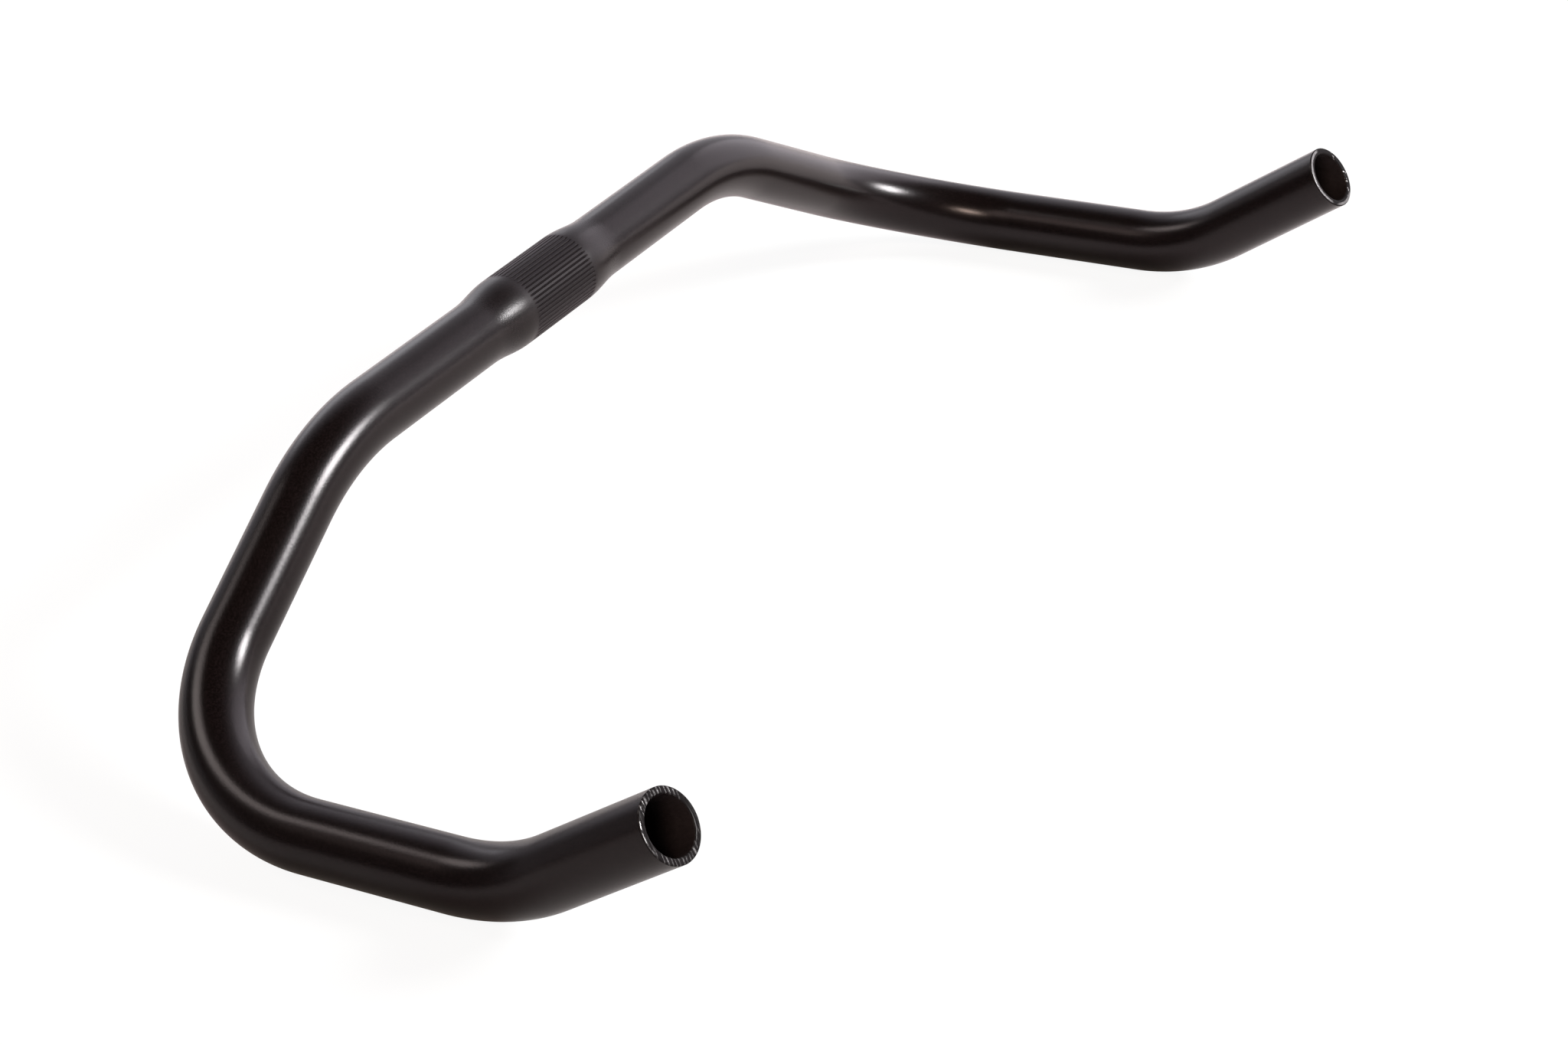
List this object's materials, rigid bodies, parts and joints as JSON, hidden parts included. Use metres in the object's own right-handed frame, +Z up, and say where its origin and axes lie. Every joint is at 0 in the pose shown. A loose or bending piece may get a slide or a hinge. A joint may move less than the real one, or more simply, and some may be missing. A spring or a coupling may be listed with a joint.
{
  "type": "bullhorn handlebar",
  "caption": "Bent metal tube bicycle handlebar: bulged knurled clamp, tops bent down, corners swept forward to level arms, rising open horns.",
  "frame": {"origin": "the middle of the clamp band, on the tube's centreline", "axes": "+X along the clamp to the rider's right, +Y forward along the arms and horns, +Z up"},
  "size_m": [0.4704, 0.2069, 0.0862],
  "materials": {
    "bar_tube": "satin black coating over aluminium tube"
  },
  "bodies": {
    "root": {"clamp_section": "bar_tube", "right_top": "bar_tube", "right_top_bend": "bar_tube", "right_leg": "bar_tube", "right_corner_bend": "bar_tube", "right_forearm": "bar_tube", "right_horn_bend": "bar_tube", "right_horn": "bar_tube", "left_top": "bar_tube", "left_top_bend": "bar_tube", "left_leg": "bar_tube", "left_corner_bend": "bar_tube", "left_forearm": "bar_tube", "left_horn_bend": "bar_tube", "left_horn": "bar_tube"}
  },
  "joints": []
}
